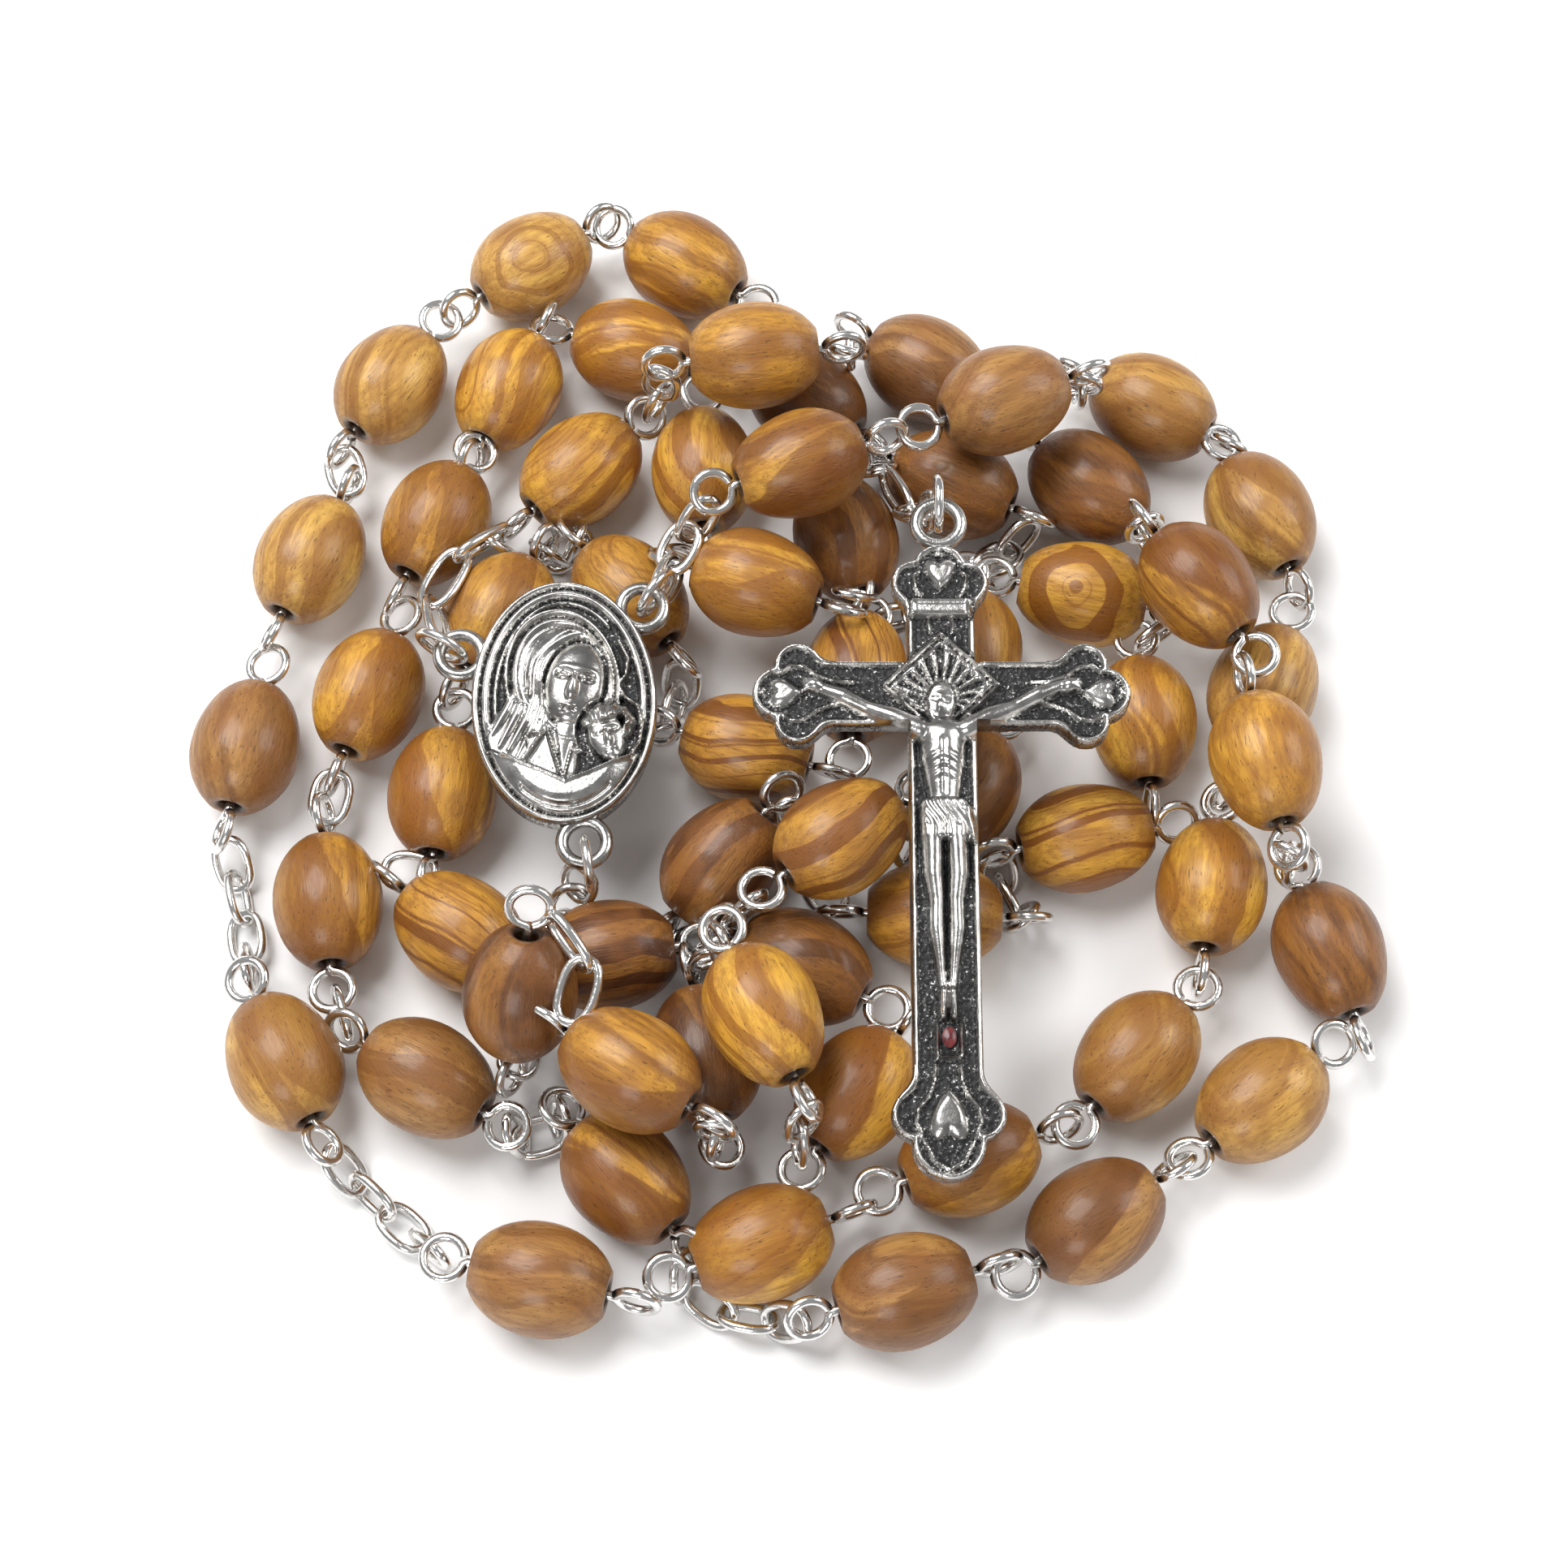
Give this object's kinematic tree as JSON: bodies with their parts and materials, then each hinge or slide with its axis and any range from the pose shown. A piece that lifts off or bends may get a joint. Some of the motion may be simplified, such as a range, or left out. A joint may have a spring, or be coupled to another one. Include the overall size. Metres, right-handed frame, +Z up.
{
  "type": "rosary",
  "caption": "Five-decade rosary of drilled oval wooden beads on a wire chain, heaped, with an oval centre medal and a crucifix on top.",
  "frame": {"origin": "middle of the heap's box, on the surface that it lies on", "axes": "+Z up from the surface, +Y from the crucifix's foot towards its ring, +X to the right of the crucifix"},
  "size_m": [0.0818, 0.0858, 0.018],
  "materials": {
    "wood": "satin-varnished olive wood, each bead cut differently",
    "wire": "bright silver-plated wire",
    "silver": "antiqued silver, black in its recesses"
  },
  "bodies": {
    "chain": {"loop_chain": "wire", "pendant_chain": "wire"},
    "crucifix": {"crucifix": "silver"},
    "centre_medal": {"centre_medal": "silver"},
    "father_1": {"father_1": "wood"},
    "father_2": {"father_2": "wood"},
    "father_3": {"father_3": "wood"},
    "father_4": {"father_4": "wood"},
    "father_5": {"father_5": "wood"},
    "father_6": {"father_6": "wood"},
    "hail_1_01": {"hail_1_01": "wood"},
    "hail_1_02": {"hail_1_02": "wood"},
    "hail_1_03": {"hail_1_03": "wood"},
    "hail_1_04": {"hail_1_04": "wood"},
    "hail_1_05": {"hail_1_05": "wood"},
    "hail_1_06": {"hail_1_06": "wood"},
    "hail_1_07": {"hail_1_07": "wood"},
    "hail_1_08": {"hail_1_08": "wood"},
    "hail_1_09": {"hail_1_09": "wood"},
    "hail_1_10": {"hail_1_10": "wood"},
    "hail_2_01": {"hail_2_01": "wood"},
    "hail_2_02": {"hail_2_02": "wood"},
    "hail_2_03": {"hail_2_03": "wood"},
    "hail_2_04": {"hail_2_04": "wood"},
    "hail_2_05": {"hail_2_05": "wood"},
    "hail_2_06": {"hail_2_06": "wood"},
    "hail_2_07": {"hail_2_07": "wood"},
    "hail_2_08": {"hail_2_08": "wood"},
    "hail_2_09": {"hail_2_09": "wood"},
    "hail_2_10": {"hail_2_10": "wood"},
    "hail_3_02": {"hail_3_02": "wood"},
    "hail_3_03": {"hail_3_03": "wood"},
    "hail_3_04": {"hail_3_04": "wood"},
    "hail_3_06": {"hail_3_06": "wood"},
    "hail_3_07": {"hail_3_07": "wood"},
    "hail_3_08": {"hail_3_08": "wood"},
    "hail_3_09": {"hail_3_09": "wood"},
    "hail_4_01": {"hail_4_01": "wood"},
    "hail_4_02": {"hail_4_02": "wood"},
    "hail_4_03": {"hail_4_03": "wood"},
    "hail_4_04": {"hail_4_04": "wood"},
    "hail_4_05": {"hail_4_05": "wood"},
    "hail_4_06": {"hail_4_06": "wood"},
    "hail_4_07": {"hail_4_07": "wood"},
    "hail_4_08": {"hail_4_08": "wood"},
    "hail_4_09": {"hail_4_09": "wood"},
    "hail_4_10": {"hail_4_10": "wood"},
    "hail_5_01": {"hail_5_01": "wood"},
    "hail_5_02": {"hail_5_02": "wood"},
    "hail_5_03": {"hail_5_03": "wood"},
    "hail_5_04": {"hail_5_04": "wood"},
    "hail_5_05": {"hail_5_05": "wood"},
    "hail_5_06": {"hail_5_06": "wood"},
    "hail_5_07": {"hail_5_07": "wood"},
    "hail_5_08": {"hail_5_08": "wood"},
    "hail_5_09": {"hail_5_09": "wood"},
    "hail_5_10": {"hail_5_10": "wood"},
    "hail_pendant_01": {"hail_pendant_01": "wood"},
    "hail_pendant_02": {"hail_pendant_02": "wood"},
    "hail_pendant_03": {"hail_pendant_03": "wood"}
  },
  "joints": [
    {"name": "crucifix_swing", "type": "hinge", "parent": "chain", "child": "crucifix", "pos_m": [0.01061, 0.01194, 0.01595], "axis": [-1, 0, 0], "range_deg": [0, 100]},
    {"name": "medal_rock", "type": "hinge", "parent": "chain", "child": "centre_medal", "pos_m": [-0.01595, 0.00633, 0.00974], "axis": [-0.96, -0.2796, 0.0167], "range_deg": [0, 8]},
    {"name": "father_1_spin", "type": "hinge", "parent": "chain", "child": "father_1", "pos_m": [-0.0331, -0.02358, 0.0038], "axis": [-0.454, 0.891, 0], "continuous": true},
    {"name": "father_2_spin", "type": "hinge", "parent": "chain", "child": "father_2", "pos_m": [0.01042, -0.01311, 0.0038], "axis": [-0.9994, 0.0349, 0], "continuous": true},
    {"name": "father_3_spin", "type": "hinge", "parent": "chain", "child": "father_3", "pos_m": [-0.01077, 0.01112, 0.0038], "axis": [0.6157, -0.788, 0], "continuous": true},
    {"name": "father_4_spin", "type": "hinge", "parent": "chain", "child": "father_4", "pos_m": [-0.01018, -0.03158, 0.0038], "axis": [0.6691, -0.7431, 0], "continuous": true},
    {"name": "father_5_spin", "type": "hinge", "parent": "chain", "child": "father_5", "pos_m": [-0.01167, -0.01609, 0.0038], "axis": [0.9903, 0.1392, 0], "continuous": true},
    {"name": "father_6_spin", "type": "hinge", "parent": "chain", "child": "father_6", "pos_m": [0.01241, 0.02018, 0.0038], "axis": [-0.9063, 0.4226, 0], "continuous": true},
    {"name": "hail_1_01_spin", "type": "hinge", "parent": "chain", "child": "hail_1_01", "pos_m": [0.00131, 0.0175, 0.01147], "axis": [0.9397, 0.342, 0], "continuous": true},
    {"name": "hail_1_02_spin", "type": "hinge", "parent": "chain", "child": "hail_1_02", "pos_m": [0.01571, 0.02286, 0.01118], "axis": [0.9397, 0.342, 0], "continuous": true},
    {"name": "hail_1_03_spin", "type": "hinge", "parent": "chain", "child": "hail_1_03", "pos_m": [0.02717, 0.02657, 0.0038], "axis": [0.866, -0.5, 0], "continuous": true},
    {"name": "hail_1_04_spin", "type": "hinge", "parent": "chain", "child": "hail_1_04", "pos_m": [0.03446, 0.01761, 0.0038], "axis": [0.3746, -0.9272, 0], "continuous": true},
    {"name": "hail_1_05_spin", "type": "hinge", "parent": "chain", "child": "hail_1_05", "pos_m": [0.03385, 0.00386, 0.0038], "axis": [-0.3746, -0.9272, 0], "continuous": true},
    {"name": "hail_1_06_spin", "type": "hinge", "parent": "chain", "child": "hail_1_06", "pos_m": [0.02941, -0.01109, 0.0038], "axis": [-0.1736, -0.9848, 0], "continuous": true},
    {"name": "hail_1_07_spin", "type": "hinge", "parent": "chain", "child": "hail_1_07", "pos_m": [0.02374, -0.02321, 0.0038], "axis": [-0.6691, -0.7431, 0], "continuous": true},
    {"name": "hail_1_08_spin", "type": "hinge", "parent": "chain", "child": "hail_1_08", "pos_m": [0.01239, -0.03029, 0.0038], "axis": [-0.9397, -0.342, 0], "continuous": true},
    {"name": "hail_1_09_spin", "type": "hinge", "parent": "chain", "child": "hail_1_09", "pos_m": [-0.00127, -0.03602, 0.0038], "axis": [-0.9397, -0.342, 0], "continuous": true},
    {"name": "hail_1_10_spin", "type": "hinge", "parent": "chain", "child": "hail_1_10", "pos_m": [-0.01559, -0.03836, 0.0038], "axis": [-0.9744, 0.225, 0], "continuous": true},
    {"name": "hail_2_01_spin", "type": "hinge", "parent": "chain", "child": "hail_2_01", "pos_m": [-0.03729, -0.00066, 0.0038], "axis": [0.1736, 0.9848, 0], "continuous": true},
    {"name": "hail_2_02_spin", "type": "hinge", "parent": "chain", "child": "hail_2_02", "pos_m": [-0.03371, 0.01406, 0.0038], "axis": [0.3746, 0.9272, 0], "continuous": true},
    {"name": "hail_2_03_spin", "type": "hinge", "parent": "chain", "child": "hail_2_03", "pos_m": [-0.02867, 0.02849, 0.0038], "axis": [0.5299, 0.848, 0], "continuous": true},
    {"name": "hail_2_04_spin", "type": "hinge", "parent": "chain", "child": "hail_2_04", "pos_m": [-0.01869, 0.03874, 0.0038], "axis": [0.809, 0.5878, 0], "continuous": true},
    {"name": "hail_2_05_spin", "type": "hinge", "parent": "chain", "child": "hail_2_05", "pos_m": [-0.00718, 0.03875, 0.0038], "axis": [0.848, -0.5299, 0], "continuous": true},
    {"name": "hail_2_06_spin", "type": "hinge", "parent": "chain", "child": "hail_2_06", "pos_m": [0.00186, 0.02734, 0.0038], "axis": [0.7431, -0.6691, 0], "continuous": true},
    {"name": "hail_2_07_spin", "type": "hinge", "parent": "chain", "child": "hail_2_07", "pos_m": [0.00463, 0.01573, 0.0038], "axis": [0.2588, -0.9659, 0], "continuous": true},
    {"name": "hail_2_08_spin", "type": "hinge", "parent": "chain", "child": "hail_2_08", "pos_m": [0.02149, 0.01131, 0.0038], "axis": [0.9781, -0.2079, 0], "continuous": true},
    {"name": "hail_2_09_spin", "type": "hinge", "parent": "chain", "child": "hail_2_09", "pos_m": [0.02531, 0.00125, 0.0038], "axis": [0.0349, -0.9994, 0], "continuous": true},
    {"name": "hail_2_10_spin", "type": "hinge", "parent": "chain", "child": "hail_2_10", "pos_m": [0.02091, -0.00749, 0.0038], "axis": [-0.9848, -0.1736, 0], "continuous": true},
    {"name": "hail_3_02_spin", "type": "hinge", "parent": "chain", "child": "hail_3_02", "pos_m": [0.0015, -0.01689, 0.0038], "axis": [0.8829, -0.4695, 0], "continuous": true},
    {"name": "hail_3_03_spin", "type": "hinge", "parent": "chain", "child": "hail_3_03", "pos_m": [0.00503, -0.02575, 0.0038], "axis": [-0.5736, -0.8192, 0], "continuous": true},
    {"name": "hail_3_04_spin", "type": "hinge", "parent": "chain", "child": "hail_3_04", "pos_m": [-0.00111, -0.02269, 0.01088], "axis": [-0.4226, 0.9063, 0], "continuous": true},
    {"name": "hail_3_06_spin", "type": "hinge", "parent": "chain", "child": "hail_3_06", "pos_m": [-0.00971, -0.02632, 0.01046], "axis": [-0.848, 0.5299, 0], "continuous": true},
    {"name": "hail_3_07_spin", "type": "hinge", "parent": "chain", "child": "hail_3_07", "pos_m": [-0.01705, -0.02057, 0.00904], "axis": [-0.1336, -0.6287, -0.766], "continuous": true},
    {"name": "hail_3_08_spin", "type": "hinge", "parent": "chain", "child": "hail_3_08", "pos_m": [-0.02183, -0.01434, 0.0038], "axis": [-0.788, 0.6157, 0], "continuous": true},
    {"name": "hail_3_09_spin", "type": "hinge", "parent": "chain", "child": "hail_3_09", "pos_m": [-0.02341, -0.00417, 0.0038], "axis": [0.1045, 0.9945, 0], "continuous": true},
    {"name": "hail_4_01_spin", "type": "hinge", "parent": "chain", "child": "hail_4_01", "pos_m": [-0.00241, -0.00082, 0.0038], "axis": [0.9613, -0.2756, 0], "continuous": true},
    {"name": "hail_4_02_spin", "type": "hinge", "parent": "chain", "child": "hail_4_02", "pos_m": [0.00526, 0.00478, 0.0038], "axis": [0.0872, 0.9962, 0], "continuous": true},
    {"name": "hail_4_03_spin", "type": "hinge", "parent": "chain", "child": "hail_4_03", "pos_m": [-0.00173, 0.01036, 0.00725], "axis": [-0.9511, 0.309, 0], "continuous": true},
    {"name": "hail_4_04_spin", "type": "hinge", "parent": "chain", "child": "hail_4_04", "pos_m": [-0.00566, 0.02126, 0.0038], "axis": [-0.0349, 0.9994, 0], "continuous": true},
    {"name": "hail_4_05_spin", "type": "hinge", "parent": "chain", "child": "hail_4_05", "pos_m": [-0.01087, 0.03135, 0.0038], "axis": [-0.9563, 0.2924, 0], "continuous": true},
    {"name": "hail_4_06_spin", "type": "hinge", "parent": "chain", "child": "hail_4_06", "pos_m": [-0.02003, 0.02803, 0.0038], "axis": [-0.3907, -0.9205, 0], "continuous": true},
    {"name": "hail_4_07_spin", "type": "hinge", "parent": "chain", "child": "hail_4_07", "pos_m": [-0.02484, 0.017, 0.0038], "axis": [-0.4067, -0.9135, 0], "continuous": true},
    {"name": "hail_4_08_spin", "type": "hinge", "parent": "chain", "child": "hail_4_08", "pos_m": [-0.02894, 0.00339, 0.0038], "axis": [-0.309, -0.9511, 0], "continuous": true},
    {"name": "hail_4_09_spin", "type": "hinge", "parent": "chain", "child": "hail_4_09", "pos_m": [-0.03087, -0.01218, 0.0038], "axis": [0.1045, -0.9945, 0], "continuous": true},
    {"name": "hail_4_10_spin", "type": "hinge", "parent": "chain", "child": "hail_4_10", "pos_m": [-0.02358, -0.02475, 0.0038], "axis": [0.8572, -0.515, 0], "continuous": true},
    {"name": "hail_5_01_spin", "type": "hinge", "parent": "chain", "child": "hail_5_01", "pos_m": [0.00798, -0.03913, 0.0038], "axis": [0.9613, 0.2756, 0], "continuous": true},
    {"name": "hail_5_02_spin", "type": "hinge", "parent": "chain", "child": "hail_5_02", "pos_m": [0.02052, -0.03444, 0.0038], "axis": [0.829, 0.5592, 0], "continuous": true},
    {"name": "hail_5_03_spin", "type": "hinge", "parent": "chain", "child": "hail_5_03", "pos_m": [0.03188, -0.02632, 0.0038], "axis": [0.788, 0.6157, 0], "continuous": true},
    {"name": "hail_5_04_spin", "type": "hinge", "parent": "chain", "child": "hail_5_04", "pos_m": [0.03713, -0.0158, 0.0038], "axis": [-0.2756, 0.9613, 0], "continuous": true},
    {"name": "hail_5_05_spin", "type": "hinge", "parent": "chain", "child": "hail_5_05", "pos_m": [0.03273, -0.00408, 0.00936], "axis": [-0.1736, 0.9848, 0], "continuous": true},
    {"name": "hail_5_06_spin", "type": "hinge", "parent": "chain", "child": "hail_5_06", "pos_m": [0.02891, 0.0091, 0.00941], "axis": [-0.5592, 0.829, 0], "continuous": true},
    {"name": "hail_5_07_spin", "type": "hinge", "parent": "chain", "child": "hail_5_07", "pos_m": [0.02226, 0.01994, 0.0038], "axis": [-0.7193, 0.6947, 0], "continuous": true},
    {"name": "hail_5_08_spin", "type": "hinge", "parent": "chain", "child": "hail_5_08", "pos_m": [0.01071, 0.02977, 0.0038], "axis": [-0.8387, 0.5446, 0], "continuous": true},
    {"name": "hail_5_09_spin", "type": "hinge", "parent": "chain", "child": "hail_5_09", "pos_m": [-0.00193, 0.02634, 0.01139], "axis": [-0.9945, -0.1045, 0], "continuous": true},
    {"name": "hail_5_10_spin", "type": "hinge", "parent": "chain", "child": "hail_5_10", "pos_m": [-0.01452, 0.02128, 0.0038], "axis": [-0.7193, -0.6947, 0], "continuous": true},
    {"name": "hail_pendant_01_spin", "type": "hinge", "parent": "chain", "child": "hail_pendant_01", "pos_m": [0.004, -0.00978, 0.00947], "axis": [0.8192, 0.5736, 0], "continuous": true},
    {"name": "hail_pendant_02_spin", "type": "hinge", "parent": "chain", "child": "hail_pendant_02", "pos_m": [0.01262, -0.00411, 0.0038], "axis": [0.4695, 0.8829, 0], "continuous": true},
    {"name": "hail_pendant_03_spin", "type": "hinge", "parent": "chain", "child": "hail_pendant_03", "pos_m": [0.0133, 0.00658, 0.0038], "axis": [0, 1, 0], "continuous": true}
  ]
}
